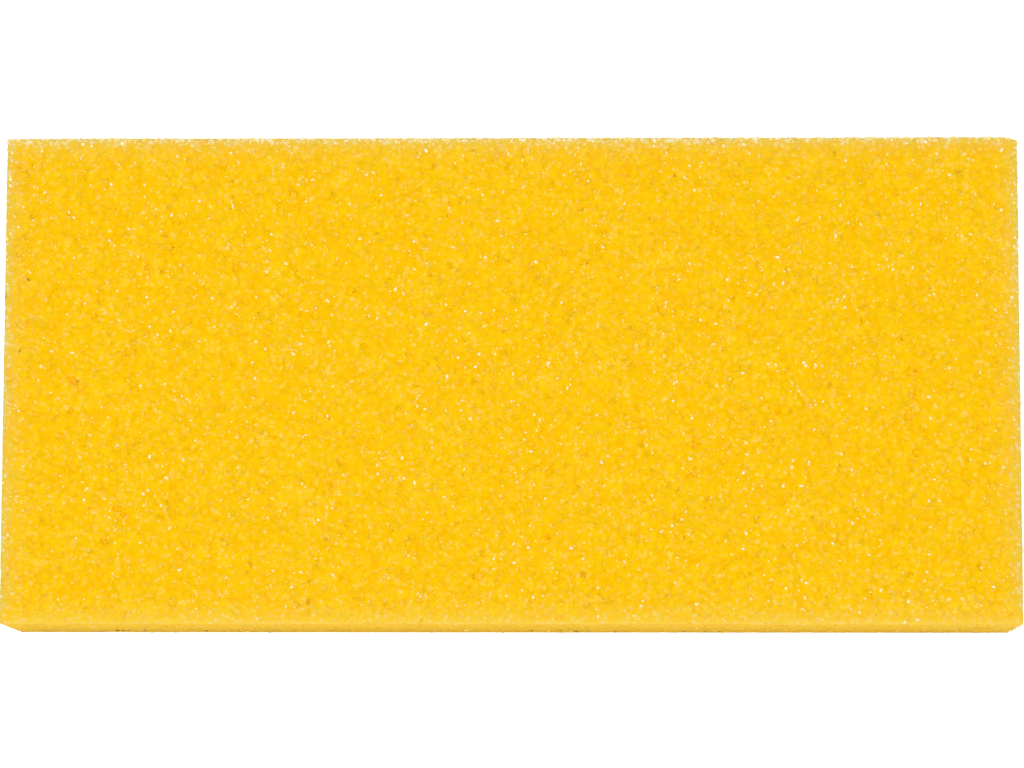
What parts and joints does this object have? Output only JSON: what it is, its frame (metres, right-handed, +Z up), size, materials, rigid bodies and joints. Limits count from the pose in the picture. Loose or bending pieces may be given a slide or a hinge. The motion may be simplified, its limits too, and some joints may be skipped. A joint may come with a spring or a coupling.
{
  "type": "sponge",
  "caption": "Rectangular block of open-cell foam sponge, sawn square, with burst cells open on every face.",
  "frame": {"origin": "middle of the large flat face that the block lies on", "axes": "+X along the block's length, +Y across its width, +Z up through its thickness"},
  "size_m": [0.27, 0.13, 0.04],
  "materials": {
    "yellow_foam": "matte, open-cell polyurethane foam, strong warm yellow"
  },
  "bodies": {
    "root": {"foam_block": "yellow_foam"}
  },
  "joints": []
}
